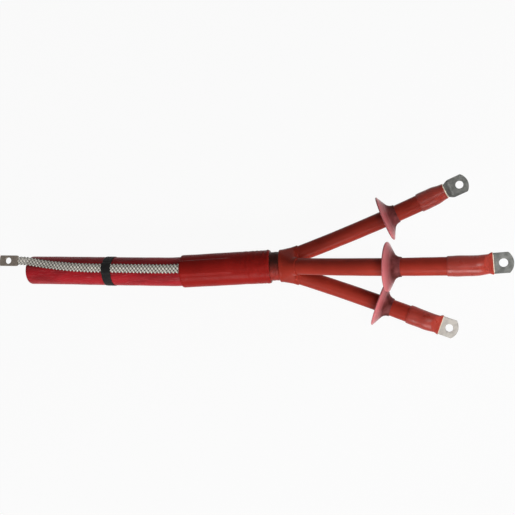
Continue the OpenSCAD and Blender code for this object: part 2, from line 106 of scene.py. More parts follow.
def level_rise(length):
    """Rise radius at which a shed's rim is as low as the sleeve's underside."""
    drop = SHED_R - (SLEEVE_R - CORE_RING / 2)
    return (length ** 2 + math.sqrt(length ** 4 + 8 * drop * SHED_R * length ** 2)) / (4 * drop)


for core in CORES.values():
    lean = math.radians(core.get("lean", 0))
    core.setdefault("radius", level_rise(core["shed"] - CROTCH_RUN) * math.cos(lean))
    core["lug_start"] = core["hole"] - CROTCH_RUN - LUG_REACH


# Routes

def turned(axis, degrees):
    return Matrix.Rotation(math.radians(degrees), 4, axis)


def shifted(x):
    return Matrix.Translation((x, 0, 0))


def after_bend(radius, turn):
    """Frame at the end of an arc that starts along +X and turns to +Y."""
    end = (radius * math.sin(turn), radius * (1 - math.cos(turn)), 0)
    return Matrix.Translation(end) @ Matrix.Rotation(turn, 4, "Z")


def up_core(core, length):
    """Frame at a length up a core's rise: +X along the core, +Z up."""
    c = CORES[core]
    a = math.radians(c["angle"])
    crotch = Matrix.Translation((CROTCH_X, CORE_RING * math.cos(a), CORE_RING * math.sin(a)))
    start = crotch @ turned("X", c["roll"])
    turn = math.radians(c["turn"])
    rise = start @ after_bend(CROTCH_RUN / turn, turn) @ turned("X", c["rise_roll"])
    return rise @ after_bend(c["radius"], length / c["radius"]) @ turned("X", -c["roll"] - c["rise_roll"])


def at_lug(core):
    c = CORES[core]
    return up_core(core, c["lug_start"]) @ turned("Z", c["lug_turn"])


def along_cable(d):
    """Frame at a distance behind the start of the cable's bend: +X towards the lugs."""
    bend_length = CABLE_BEND_RADIUS * CABLE_BEND
    turn = max(0.0, min(CABLE_BEND, d / CABLE_BEND_RADIUS))
    extra = d if d < 0 else max(0.0, d - bend_length)
    place = (
        BEND_X - CABLE_BEND_RADIUS * math.sin(turn) - extra * math.cos(turn),
        CABLE_BEND_RADIUS * (1 - math.cos(turn)) + extra * math.sin(turn),
        0,
    )
    return Matrix.Translation(place) @ Matrix.Rotation(-turn, 4, "Z")


def smooth(x):
    t = max(0.0, min(1.0, x))
    return t * t * (3 - 2 * t)


def mix(a, b, t):
    return a + (b - a) * t


def ripple(p, scale, seed):
    """Fixed noise from about -1 to 1 at a point in millimetres."""
    return noise.noise(Vector((p[0] / scale + seed, p[1] / scale, p[2] / scale)))


# The braid's lie on the cable, by distance behind the start of the bend
LIFT_START = CABLE_END - LIFT_BEFORE
DRIFT_START = BINDING_AT + BINDING_WIDTH / 2


def braid_turn(d):
    """Degrees round the cable from the top, which drift once the braid is past its binding."""
    t, ease = (d - DRIFT_START) / (CABLE_END - DRIFT_START), 0.07
    slow = 1 - ease
    u = max(0.0, min(2 * ease, t - slow))
    return BRAID_ANGLE + BRAID_DRIFT * (max(0.0, min(slow, t)) ** 2 + 2 * slow * (u - u * u / (4 * ease)))


def braid_seat(d):
    """Radius under the braid: low on the cores, on the sheath, then lifted before the cut end."""
    on_cores = CORE_RING + CORE_R + 2 * SEAT_GAP
    low = mix(BRAID_SEAT, on_cores, smooth((-d - 85) / 8))
    return mix(low, BRAID_SEAT + BRAID_LIFT, smooth((d - LIFT_START) / 60))


def braid_face(d):
    """Degrees that the braid's face leans, with the twist that lays the palm flat."""
    return braid_turn(d) - BRAID_TWIST * smooth((d - LIFT_START) / (PALM_AT - LIFT_START))


def braid_point(d, across, height):
    """Point of the braid: wrapped on the cable, and flat where it leaves it."""
    place = along_cable(d)
    r, turn, face = braid_seat(d), math.radians(braid_turn(d)), math.radians(braid_face(d))
    bent = turn + across / r
    wrapped = Vector((0, (r + height) * math.sin(bent), (r + height) * math.cos(bent)))
    flat = Vector((
        0,
        r * math.sin(turn) + across * math.cos(face) + height * math.sin(face),
        r * math.cos(turn) - across * math.sin(face) + height * math.cos(face),
    ))
    return place @ wrapped.lerp(flat, smooth((d - LIFT_START + 30) / 60))


def from_braid(a):
    """Degrees from the middle of the braid to an angle round the cable, -180 to 180."""
    return (math.degrees(a) - BRAID_ANGLE + 180) % 360 - 180


# Meshes

def mesh_of(name, points, faces):
    """A mesh from points in millimetres."""
    mesh = bpy.data.meshes.new(name)
    mesh.from_pydata([tuple(c * MM for c in p) for p in points], [], faces)
    return mesh


def face_outward(mesh):
    skin = bmesh.new()
    skin.from_mesh(mesh)
    bmesh.ops.recalc_face_normals(skin, faces=skin.faces)
    skin.to_mesh(mesh)
    skin.free()


def linked(name, mesh):
    item = bpy.data.objects.new(name, mesh)
    bpy.context.scene.collection.objects.link(item)
    return item


def applied(name, holder, *helpers):
    """The mesh of a helper with its modifiers applied. The helpers are then removed."""
    graph = bpy.context.evaluated_depsgraph_get()
    mesh = bpy.data.meshes.new_from_object(holder.evaluated_get(graph))
    mesh.name = name
    for item in (holder, *helpers):
        bpy.data.objects.remove(item)
    return mesh


def finished(name, points, faces, material, replaces=(), sharp=40, uv=None):
    """Makes a piece from points in millimetres, and puts it on the frame."""
    mesh = mesh_of(name, points, faces)
    if uv:
        layer = mesh.uv_layers.new(name="UVMap")
        for loop in mesh.loops:
            layer.data[loop.index].uv = uv[loop.vertex_index]
    placed(name, mesh, material, replaces, sharp)


def placed(name, mesh, material, replaces, sharp):
    """Puts a mesh on the frame as a piece, smooth up to an angle in degrees."""
    mesh.validate()
    face_outward(mesh)
    mesh.polygons.foreach_set("use_smooth", [True] * len(mesh.polygons))
    mesh.set_sharp_from_angle(angle=math.radians(sharp))
    mesh.materials.clear()
    mesh.materials.append(material)
    piece = linked(name, mesh)
    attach(piece, "root")
    if replaces:
        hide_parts(*replaces)


def loft(rings, closed=True, start=0):
    """Points and faces of a skin through rings of equal count. An open one gets two end caps."""
    count = len(rings[0])
    points = [p for ring in rings for p in ring]
    faces = []
    last = len(rings) if closed else len(rings) - 1
    for i in range(last):
        a, b = start + i * count, start + (i + 1) % len(rings) * count
        for k in range(count):
            n = (k + 1) % count
            faces.append((a + k, a + n, b + n, b + k))
    if not closed:
        faces.append(tuple(start + k for k in reversed(range(count))))
        faces.append(tuple(start + (len(rings) - 1) * count + k for k in range(count)))
    return points, faces


def extend(points, faces, rings):
    """Adds a capped skin through rings to points and faces."""
    more, skin = loft(rings, False, len(points))
    points += more
    faces += skin


def angles(count):
    return [2 * math.pi * k / count for k in range(count)]


def around(x, radius, a):
    """Point at a distance along +X, with its angle from +Z to +Y."""
    return x, radius * math.sin(a), radius * math.cos(a)


def ring(place, radius, count):
    """Points round the +X axis of a frame. radius is a number or a function of the angle."""
    points = []
    for a in angles(count):
        r = radius(a) if callable(radius) else radius
        points.append(place @ Vector(around(0, r, a)))
    return points


def wall(frames, outer, inner, count):
    """A tube through frames. outer and inner give a radius from the frame's index and the angle."""
    order = range(len(frames))
    rings = [ring(frames[i], lambda a: outer(i, a), count) for i in order]
    rings += [ring(frames[i], lambda a: inner(i, a), count) for i in reversed(order)]
    return loft(rings)


def stations(start, end, step):
    """Even places from start to end, about a step apart."""
    count = max(2, round(abs(end - start) / step))
    return [mix(start, end, i / count) for i in range(count + 1)]


# Materials

def add(tree, kind, **values):
    """Adds a node. Keys are its properties or the names of its inputs. A value that is a socket is linked."""
    node = tree.nodes.new(kind)
    for key, value in values.items():
        if hasattr(node, key):
            setattr(node, key, value)
        elif isinstance(value, bpy.types.NodeSocket):
            tree.links.new(value, node.inputs[key])
        else:
            node.inputs[key].default_value = value
    return node


def empty_material(name):
    material = bpy.data.materials.new(name)
    material.use_nodes = True
    tree = material.node_tree
    tree.nodes.clear()
    return material, tree, add(tree, "ShaderNodeOutputMaterial").inputs["Surface"]


def new_material(name, gloss=0.5, metallic=0.0):
    """A material with one shader. gloss is its specular level."""
    material, tree, surface = empty_material(name)
    shader = add(tree, "ShaderNodeBsdfPrincipled")
    shader.inputs["Specular IOR Level"].default_value = gloss
    shader.inputs["Metallic"].default_value = metallic
    tree.links.new(shader.outputs["BSDF"], surface)
    return material, tree, shader


def stretched(tree, stretch=(1.0, 1.0, 1.0), source="Object"):
    """Coordinates of the piece, stretched along its axes."""
    coordinates = add(tree, "ShaderNodeTexCoord").outputs[source]
    return add(tree, "ShaderNodeMapping", Vector=coordinates, Scale=stretch).outputs["Vector"]


def one_axis(tree, vector, axis):
    return add(tree, "ShaderNodeSeparateXYZ", Vector=vector).outputs[axis]


def speckle(tree, vector, scale, detail):
    texture = add(tree, "ShaderNodeTexNoise", Vector=vector, Scale=scale, Detail=detail, Roughness=0.55)
    return texture.outputs["Fac"]


def spread(tree, value, low, high, start=0.35, end=0.65):
    """Maps a noise value to a range."""
    ends = {"From Min": start, "From Max": end, "To Min": low, "To Max": high}
    return add(tree, "ShaderNodeMapRange", Value=value, **ends).outputs["Result"]


def blended(tree, factor, first, second):
    """Mixes two colours, each a colour or another node's output."""
    node = add(tree, "ShaderNodeMix", data_type="RGBA", blend_type="MIX", Factor=factor)
    for socket, colour in ((node.inputs[6], first), (node.inputs[7], second)):
        if isinstance(colour, bpy.types.NodeSocket):
            tree.links.new(colour, socket)
        else:
            socket.default_value = (*colour[:3], 1.0)
    return node.outputs[2]


def bumped(tree, shader, height, strength, distance):
    node = add(tree, "ShaderNodeBump", Height=height, Strength=strength, Distance=distance)
    tree.links.new(node.outputs["Normal"], shader.inputs["Normal"])


def coloured(tree, shader, colour, roughness):
    tree.links.new(colour, shader.inputs["Base Color"])
    tree.links.new(roughness, shader.inputs["Roughness"])


def shade(colour, factor):
    return tuple(c * factor for c in colour[:3])


def sheath_finish(look):
    """Extruded red sheath with darker handled patches and fine scuffs along it."""
    material, tree, shader = new_material("sheath red", gloss=0.1)
    along = stretched(tree, (1.0, 3.5, 3.5))
    patches = spread(tree, speckle(tree, along, 13, 5), 0, 1, 0.42, 0.62)
    finer = stretched(tree, (1.0, 14.0, 14.0))
    scuffs = spread(tree, speckle(tree, finer, 40, 6), 0, 0.35, 0.55, 0.75)
    scuffed_red = (0.55, 0.16, 0.17)
    base = blended(tree, patches, look.sheath, shade(look.sheath, 0.62))
    base = blended(tree, scuffs, base, scuffed_red)
    coloured(tree, shader, base, spread(tree, speckle(tree, along, 60, 3), 0.3, 0.5))
    bumped(tree, shader, speckle(tree, along, 120, 5), 0.12, 0.002)
    return material


def shrunk_finish(name, colour, gloss, rough):
    """Shrunk red tubing with a soft dulled bloom and a fine grain."""
    material, tree, shader = new_material(name, gloss)
    soft = stretched(tree)
    bloom = spread(tree, speckle(tree, soft, 26, 4), 0, 0.5)
    base = blended(tree, bloom, colour, shade(colour, 0.7))
    coloured(tree, shader, base, spread(tree, speckle(tree, soft, 75, 4), rough, rough + 0.15))
    bumped(tree, shader, speckle(tree, soft, 150, 3), 0.08, 0.0015)
    return material


def shed_finish(look):
    """Moulded shed with painted shade that darkens the collar and fillet, so that it is paler towards its
    thin rim, with faint rings. The map's second axis runs to the rim.
    """
    material, tree, shader = new_material("shed pink", gloss=0.11)
    skirt = stretched(tree, source="UV")
    rings = add(tree, "ShaderNodeTexWave", wave_type="BANDS", bands_direction="Y",
                Vector=skirt, Scale=9.0, Distortion=0.6)
    to_rim = one_axis(tree, skirt, "Y")
    dust = spread(tree, speckle(tree, stretched(tree), 60, 5), 0, 0.35)
    # Painted shade: the collar and fillet take a near black-red that fades out towards the rim.
    collar_painted_shade = (0.055, 0.007, 0.005)
    base = blended(tree, spread(tree, to_rim, 0, 1, 0.3, 0.9), collar_painted_shade, look.shed)
    base = blended(tree, dust, base, shade(look.shed, 0.8))
    coloured(tree, shader, base, spread(tree, to_rim, 0.6, 0.2, 0.2, 0.6))
    shader.inputs["Subsurface Weight"].default_value = 0.1
    shader.inputs["Subsurface Radius"].default_value = (0.006, 0.002, 0.002)
    bumped(tree, shader, rings.outputs["Fac"], 0.06, 0.001)
    return material


def tin_finish(name, colour, dull, rough, metallic):
    """Tinned copper: satin, blotched where the tin has dulled, with fine drawn lines."""
    material, tree, shader = new_material(name, metallic=metallic)
    plain = stretched(tree)
    lines = stretched(tree, (1.0, 6.0, 6.0))
    blotches = spread(tree, speckle(tree, plain, 110, 6), 0, 1, 0.4, 0.62)
    base = blended(tree, blotches, colour, shade(colour, dull))
    coloured(tree, shader, base, spread(tree, speckle(tree, plain, 170, 4), rough, rough + 0.2))
    bumped(tree, shader, speckle(tree, lines, 300, 4), 0.12, 0.0008)
    return material


def braid_finish(look):
    """Tinned wires with painted light: painted highlights on the plait's crowns, and painted shade in its
    gaps, on the strips' undersides and where a strip passes under. The map's second axis is the share of
    painted light.
    """
    material, tree, shader = new_material("tinned braid", metallic=0.25)
    painted_light_share = spread(tree, one_axis(tree, stretched(tree, source="UV"), "Y"), 0, 1, 0.12, 0.7)
    cloud = spread(tree, speckle(tree, stretched(tree), 70, 4), 0, 0.5)
    bright = blended(tree, cloud, look.braid, shade(look.braid, 0.7))
    # Painted shade: a tenth of the braid's colour where the share of painted light is nought.
    base = blended(tree, painted_light_share, shade(look.braid, 0.1), bright)
    coloured(tree, shader, base, spread(tree, speckle(tree, stretched(tree), 200, 3), 0.35, 0.5))
    bumped(tree, shader, speckle(tree, stretched(tree, (1.0, 4.0, 4.0)), 400, 3), 0.15, 0.0006)
    return material


def plain_finish(name, colour, rough, dark=0.7, scale=80, bump=0.1, metallic=0.0, gloss=0.5):
    """A soft or drawn material with a fine uneven grain."""
    material, tree, shader = new_material(name, gloss, metallic)
    grain = stretched(tree)
    cloud = spread(tree, speckle(tree, grain, scale, 5), 0, 1)
    base = blended(tree, cloud, colour, shade(colour, dark))
    coloured(tree, shader, base, spread(tree, speckle(tree, grain, scale * 2, 3), rough - 0.08, rough + 0.1))
    bumped(tree, shader, speckle(tree, grain, scale * 3, 4), bump, 0.001)
    return material


def neck_finish():
    """Wound mastic, red below, with painted shade that darkens it towards the top of the neck."""
    material, tree, shader = new_material("brown mastic", gloss=0.07)
    plain = stretched(tree)
    # Painted shade: the mask turns the neck dark towards +Y, the side away from the light.
    upper = spread(tree, one_axis(tree, plain, "Y"), 0, 1, -0.012, 0.006)
    cloud = spread(tree, speckle(tree, plain, 130, 4), 0, 0.5)
    red, painted_shade_brown, between = (0.29, 0.026, 0.018), (0.035, 0.009, 0.006), (0.08, 0.012, 0.009)
    base = blended(tree, cloud, blended(tree, upper, red, painted_shade_brown), between)
    coloured(tree, shader, base, spread(tree, speckle(tree, plain, 90, 3), 0.3, 0.5))
    bumped(tree, shader, speckle(tree, plain, 180, 4), 0.25, 0.0015)
    return material


def colour_setting(name, what, default):
    return bpy.props.FloatVectorProperty(
        name=name, description="Colour of " + what, subtype="COLOR", default=default)


def size_setting(name, what, default, least):
    return bpy.props.FloatProperty(
        name=name, description=what, unit="LENGTH", default=default * MM, min=least * MM)


class TerminationLook(bpy.types.PropertyGroup):
    sheath: colour_setting("Sheath", "the cable's sheath", (0.36, 0.012, 0.018))
    sleeve: colour_setting("Sealing sleeve", "the sealing sleeve", (0.29, 0.012, 0.009))
    tubes: colour_setting("Tubes", "the boot, the core tubes and the lug sleeves", (0.31, 0.028, 0.016))
    shed: colour_setting("Rain sheds", "the sheds at the rim", (0.5, 0.13, 0.14))
    tin: colour_setting("Lugs", "the tinned lugs", (0.125, 0.127, 0.118))
    braid: colour_setting("Braid", "the tinned braid", (0.95, 0.9, 0.8))
    lead: size_setting("Plait lead", "Length of a strand's turn in the braid", 28.0, 10.0)
    creases: size_setting("Creases", "Depth of the creases in the sleeve", 0.85, 0.0)


def look():
    return bpy.context.scene.termination_look


def paint(material, *nodes):
    """Gives CAD nodes that are carried over their material."""
    for node in nodes:
        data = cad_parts[node].data
        data.materials.clear()
        data.materials.append(material)


class TERMINATION_OT_stage(bpy.types.Operator):
    """Adds the floor, the soft light and the camera of the picture"""
    bl_idname = "termination.stage"
    bl_label = "Stage"

    def execute(self, context):
        context.scene.view_settings.view_transform = "Standard"
        self.floor()
        self.world(context.scene)
        self.lamp("key", (0.1, -1.65, 1.0), (0.0, 0.0, 0.0), (1.8, 0.8), 42.0)
        self.lamp("front", (0.1, -0.4, 1.95), (0.0, 0.0, 0.0), (1.4, 0.3), 6.0)
        self.lamp("side", (0.6, 0.08, 1.3), (0.45, 0.0, 0.05), (0.25, 0.25), 0.34, spread_angle=40)
        self.lamp("right", (1.6, 0.25, 0.4), (0.25, 0.0, 0.0), (0.5, 0.4), 10.0, mirrored=False)
        self.camera(context.scene)
        return {"FINISHED"}

    def floor(self):
        half = 6000.0
        corners = [(x * half, y * half, BENCH_Z) for x, y in ((-1, -1), (1, -1), (1, 1), (-1, 1))]
        mesh = mesh_of("floor", corners, [(0, 1, 2, 3)])
        material, tree, surface = empty_material("pale floor")
        lit = add(tree, "ShaderNodeBsdfDiffuse", Color=(0.4, 0.4, 0.4, 1.0))
        seen = add(tree, "ShaderNodeEmission", Color=(1.0, 1.0, 1.0, 1.0), Strength=1.0)
        shown = add(tree, "ShaderNodeMixShader", Fac=self.white_share(tree))
        tree.links.new(lit.outputs["BSDF"], shown.inputs[1])
        tree.links.new(seen.outputs["Emission"], shown.inputs[2])
        tree.links.new(shown.outputs["Shader"], surface)
        mesh.materials.append(material)
        floor = linked("floor", mesh)

    def world(self, scene):
        """Dim to the object, and white where it is seen or mirrored."""
        world = bpy.data.worlds.new("studio")
        world.use_nodes = True
        sky = world.node_tree
        background = sky.nodes["Background"]
        background.inputs["Color"].default_value = (1.0, 1.0, 1.0, 1.0)
        strength = spread(sky, self.white_share(sky), AMBIENT, 1.0, 0.0, 1.0)
        sky.links.new(strength, background.inputs["Strength"])
        scene.world = world

    def lamp(self, name, place, aim, size, power, spread_angle=180, mirrored=True):
        lamp = bpy.data.lights.new(name, "AREA")
        lamp.shape = "RECTANGLE"
        lamp.size, lamp.size_y = size
        lamp.energy = power
        lamp.spread = math.radians(spread_angle)
        holder = linked(name, lamp)
        holder.location = place
        holder.rotation_mode = "QUATERNION"
        holder.rotation_quaternion = (Vector(aim) - Vector(place)).to_track_quat("-Z", "Y")
        holder.visible_glossy = mirrored

    def camera(self, scene):
        """The picture's camera. Aim and distance are in millimetres, the focal length in picture widths."""
        aim, distance, focal = Vector((6.2, 18.0, 0.0)), 1019.3, 550.0 / 515.0
        tilt, roll = math.radians(9.0), math.radians(3.39)
        camera = bpy.data.cameras.new("camera")
        camera.lens = camera.sensor_width * focal
        flat = Vector((math.cos(tilt), 0, -math.sin(tilt)))
        side = Vector((0, 1, 0))
        back = Vector((math.sin(tilt), 0, math.cos(tilt)))
        right = math.cos(roll) * flat - math.sin(roll) * side
        up = math.sin(roll) * flat + math.cos(roll) * side
        place = Matrix((right, up, back)).transposed().to_4x4()
        place.translation = (aim + distance * back) * MM
        holder = linked("camera", camera)
        holder.matrix_world = place
        scene.camera = holder

    def white_share(self, tree):
        """Share of white for rays that see the backdrop straight, in a gloss or through a clear piece."""
        paths = add(tree, "ShaderNodeLightPath")
        seen = paths.outputs["Is Camera Ray"]
        for kind in ("Is Glossy Ray", "Is Transmission Ray"):
            either = add(tree, "ShaderNodeMath", operation="MAXIMUM")
            tree.links.new(seen, either.inputs[0])
            tree.links.new(paths.outputs[kind], either.inputs[1])
            seen = either.outputs[0]
        share = add(tree, "ShaderNodeMath", operation="MULTIPLY")
        share.inputs[1].default_value = BACKDROP_WHITE
        tree.links.new(seen, share.inputs[0])
        return share.outputs[0]


class TERMINATION_OT_layers(bpy.types.Operator):
    """Gives the layers inside the cable and the cores their finishes"""
    bl_idname = "termination.layers"
    bl_label = "Inner layers"

    def execute(self, context):
        copper = plain_finish("copper", (0.6, 0.27, 0.15), 0.4, 0.75, 120, 0.1, 0.9)
        insulation = plain_finish("white insulation", (0.72, 0.7, 0.65), 0.5, 0.88)
        screen = plain_finish("black screen", (0.014, 0.014, 0.014), 0.6, 0.6)
        stress = plain_finish("stress black", (0.018, 0.018, 0.018), 0.5, 0.6)
        sealant = plain_finish("cream sealant", (0.62, 0.54, 0.42), 0.55, 0.85)
        for core in CORES:
            paint(copper, "conductor_" + core, "copper_tape_" + core)
            paint(insulation, "insulation_" + core)
            paint(screen, "core_screen_" + core)
            paint(stress, "stress_tube_" + core)
            paint(sealant, "lug_sealant_" + core)
        paint(plain_finish("bedding grey", (0.09, 0.088, 0.085), 0.7, 0.7), "bedding")
        paint(plain_finish("spring steel", (0.5, 0.5, 0.49), 0.35, 0.85, 150, 0.05, 1.0), "roll_spring")
        return {"FINISHED"}


class TERMINATION_OT_cable(bpy.types.Operator):
    """Adds the red sheath, the black binding tape and the cut ends of the strands"""
    bl_idname = "termination.cable"
    bl_label = "Cable"

    def execute(self, context):
        self.sheath()
        self.tape()
        self.strand_ends()
        return {"FINISHED"}

    def sheath(self):
        hidden_end, count, cut_depth, wear = -84.0, 72, 0.5, 0.3
        ends = stations(hidden_end, CABLE_END - 1.2, 3.0) + [CABLE_END - 0.4, CABLE_END]
        frames = [along_cable(d) for d in ends]

        def outer(i, a):
            d = ends[i]
            p = around(d, CABLE_R, a)
            shown = smooth((d - 6) / 25)
            cut = cut_depth * smooth((d - CABLE_END + 1.5) / 1.5)
            return CABLE_R - shown * (wear + wear * ripple(p, 38, 3)) - cut

        points, faces = wall(frames, outer, lambda i, a: BEDDING_R + 0.02, count)
        finished("sheath", points, faces, sheath_finish(look()), ["outer_sheath"])

    def tape(self):
        turns, skew, early = 3, 1.5, 3
        lift, lift_under, overlap, dip = 2.7, 2.6, 0.22, 0.25
        start = BINDING_AT - BINDING_WIDTH / 2 - early
        ends = stations(start, start + BINDING_WIDTH, 0.9)
        frames = [along_cable(d) @ turned("Z", skew) for d in ends]

        def over_braid(a):
            return smooth((24.5 - abs(from_braid(a))) / 6.5)

        def outer(i, a):
            across = i / (len(ends) - 1)
            edge = abs(across - 0.5) * 2
            lap = overlap * ((across * turns + a / (2 * math.pi)) % 1.0)
            return CABLE_R + 0.55 + lap + over_braid(a) * lift - dip * smooth((edge - 0.8) / 0.2)

        points, faces = wall(frames, outer, lambda i, a: CABLE_R + 0.05 + over_braid(a) * lift_under, FINE)
        black = plain_finish("black tape", (0.006, 0.006, 0.006), 0.6, 0.6, 110, 0.2, gloss=0.15)
        finished("binding_tape_turns", points, faces, black, ["binding_tape"], 25)

    def strand_ends(self):
        """The cut wires of each conductor, laid out in rings on the cut face by geometry nodes."""
        copper = plain_finish("cut copper", (0.62, 0.28, 0.15), 0.35, 0.7, 300, 0.1, 0.9)
        spots = []
        layers, wire_share = 4, 0.96
        wire = CONDUCTOR_R / (2 * layers - 1)
        for core in CORES.values():
            a = math.radians(core["angle"])
            middle = Vector((0, CORE_RING * math.cos(a), CORE_RING * math.sin(a)))
            for layer in range(layers):
                for turn in angles(max(1, 6 * layer)):
                    b = turn + 0.2 * layer
                    spot = middle + 2 * wire * layer * Vector((0, math.cos(b), math.sin(b)))
                    spots.append(along_cable(CABLE_END) @ spot)
        holder = linked("strand spots", mesh_of("strand spots", spots, []))
        tree = bpy.data.node_groups.new("Strand ends", "GeometryNodeTree")

        def entry(name, kind, way="INPUT"):
            return tree.interface.new_socket(name, in_out=way, socket_type="NodeSocket" + kind)

        entry("Geometry", "Geometry")
        radius = entry("Wire radius", "Float")
        direction = entry("Cut direction", "Rotation")
        finish = entry("Finish", "Material")
        entry("Geometry", "Geometry", "OUTPUT")
        given = add(tree, "NodeGroupInput").outputs
        dome = add(tree, "GeometryNodeMeshUVSphere", Segments=12, Rings=6, Radius=given["Wire radius"])
        flat = add(tree, "GeometryNodeTransform", Geometry=dome.outputs["Mesh"], Scale=(1.0, 1.0, 0.3))
        copies = add(tree, "GeometryNodeInstanceOnPoints", Points=given["Geometry"],
                     Instance=flat.outputs["Geometry"], Rotation=given["Cut direction"])
        real = add(tree, "GeometryNodeRealizeInstances", Geometry=copies.outputs["Instances"])
        painted = add(tree, "GeometryNodeSetMaterial", Geometry=real.outputs["Geometry"],
                      Material=given["Finish"])
        add(tree, "NodeGroupOutput", Geometry=painted.outputs["Geometry"])
        strands = holder.modifiers.new("Strand ends", "NODES")
        strands.node_group = tree
        strands[radius.identifier] = wire * wire_share * MM
        strands[direction.identifier] = (0.0, math.radians(-90), -CABLE_BEND)
        strands[finish.identifier] = copper
        placed("strand_ends", applied("strand_ends", holder), copper, (), 60)


class TERMINATION_OT_braid(bpy.types.Operator):
    """Adds the plaited earth braid and its palm"""
    bl_idname = "termination.braid"
    bl_label = "Earth braid"

    def execute(self, context):
        self.plait()
        self.palm()
        return {"FINISHED"}

    def plait(self):
        carriers, step, near, hair_short = 4, 1.0, 0.4, 0.999
        lead = look().lead / MM
        hidden_end, first, last = -115.0, -16.0, PALM_AT + 2.8
        half = BRAID_WIDTH / 2 - 1.8
        width, under = 1.9, -0.2
        wires = [(width, -0.12), (1.55, 0.16), (1.15, 0.1), (0.78, 0.22), (0.4, 0.14)]
        strip = [(-w, h) for w, h in wires] + [(0.0, 0.24)] + wires[::-1] + [(1.2, under), (-1.2, under)]
        points, faces, uv = [], [], []

        def lie(d, share, way):
            q = (way * d / lead + share) % 1.0
            across = half * (4 * q - 1) if q < 0.5 else half * (3 - 4 * q)
            face = max(-1.0, min(1.0, 5 * math.sin(2 * math.pi * q)))
            wave = way * math.cos(2 * math.pi * carriers * d / lead)
            height = BRAID_THICK / 2 + face * (0.42 + 0.4 * wave)
            return across, height, face, wave

        ends = stations(first, last, step)
        for way in (1, -1):
            for k in range(carriers):
                rings = []
                for d in ends:
                    across, height, face, wave = lie(d, k / carriers, way)
                    before, after = (lie(d + gap, k / carriers, way)[0] for gap in (-near, near))
                    run = Vector((2 * near, after - before)).normalized()
                    rings.append([
                        braid_point(d - w * run[1] * hair_short, across + w * run[0], height + face * h)
                        for w, h in strip
                    ])
                    # Painted light: bright where a strip passes over, painted shade where it passes under, a
                    # little darker for one way of strips, towards a strip's edges and on its underside.
                    painted_light_share = (0.5 + 0.5 * wave) ** 1.5 * (0.85 + 0.15 * way)
                    painted_light_share *= mix(0.15, 1.0, 0.5 + 0.5 * face)
                    for w, h in strip:
                        uv.append((way, painted_light_share * (1 - 0.7 * (w / width) ** 2) if h > under else 0.0))
                extend(points, faces, rings)
        edge = BRAID_WIDTH / 2
        outline = [(-edge, 0.4), (-edge + 1, 0.1), (0, 0.1), (edge - 1, 0.1), (edge, 0.4)]
        outline += [(edge, 1.6), (edge - 1, 2.1), (0, 2.1), (-edge + 1, 2.1), (-edge, 1.6)]
        hidden = stations(hidden_end, first + 1.0, 2.0)
        extend(points, faces, [[braid_point(d, w, h) for w, h in outline] for d in hidden])
        uv += [(0.0, 0.5)] * (len(points) - len(uv))
        tin = braid_finish(look())
        finished("earth_braid_plait", points, faces, tin, ["earth_braid"], 50, uv)

    def palm(self):
        """The flat palm, and the crimped grip that joins it to the braid."""
        start, ahead = braid_point(PALM_AT, 0, 0), braid_point(PALM_AT + 3, 0, 0)
        along = (ahead - start).normalized()
        face = math.radians(braid_face(PALM_AT))
        side = along_cable(PALM_AT).to_3x3() @ Vector((0, math.cos(face), -math.sin(face)))
        up = side.cross(along).normalized()
        side = up.cross(along).normalized()
        place = Matrix((along, side, up)).transposed().to_4x4()
        to_hole = EARTH_LENGTH - EARTH_HOLE_TO_TIP
        place.translation = start + along * to_hole + up * (BRAID_THICK / 2)
        points, faces = palm_skin(place, to_hole, EARTH_HOLE_TO_TIP, EARTH_WIDTH, EARTH_END_RADIUS,
                                  EARTH_HOLE_R, EARTH_THICK, chamfer=0.45)
        grips = ((-2.0, 18.6, 2.9), (-1.0, 19.6, 3.7), (2.5, 20.2, 4.2), (7.0, 20.4, 4.0), (9.0, 20.4, 3.3))
        corners = ((-1, -0.6), (-0.94, -1), (0.94, -1), (1, -0.6), (1, 0.6), (0.94, 1), (-0.94, 1), (-1, 0.6))
        extend(points, faces, [
            [place @ Vector((x - to_hole, wide / 2 * u, tall / 2 * v)) for u, v in corners]
            for x, wide, tall in grips
        ])
        tin = tin_finish("dull palm", (0.2, 0.165, 0.135), 0.75, 0.45, 0.5)
        finished("earth_palm_plate", points, faces, tin, ["earth_palm"], 30)


def palm_skin(place, back, tip, width, end_radius, hole, thick, chamfer, start=0):
    """A flat palm with a bolt hole at the frame's origin, +X to the tip: loops round the hole, chamfered."""
    half = width / 2
    centre = tip - end_radius
    level = 1e-6

    def reach(a, inset):
        x, y = math.cos(a), math.sin(a)
        limits = []
        if abs(y) > level:
            limits.append((half - inset) / abs(y))
        if x < -level:
            limits.append(back / -x)
        b = centre * x
        r = end_radius - inset
        limits.append(b + math.sqrt(max(0.0, b * b - centre * centre + r * r)))
        return min(limits)

    def loop(z, radius):
        return [place @ Vector((radius(a) * math.cos(a), radius(a) * math.sin(a), z)) for a in angles(CLOSE)]

    top = thick / 2
    heights = ((chamfer, top), (0, top - chamfer), (0, chamfer - top), (chamfer, -top))
    rings = [loop(z, lambda a: reach(a, inset)) for inset, z in heights]
    rings += [loop(z, lambda a: hole + inset) for inset, z in reversed(heights)]
    return loft(rings, start=start)


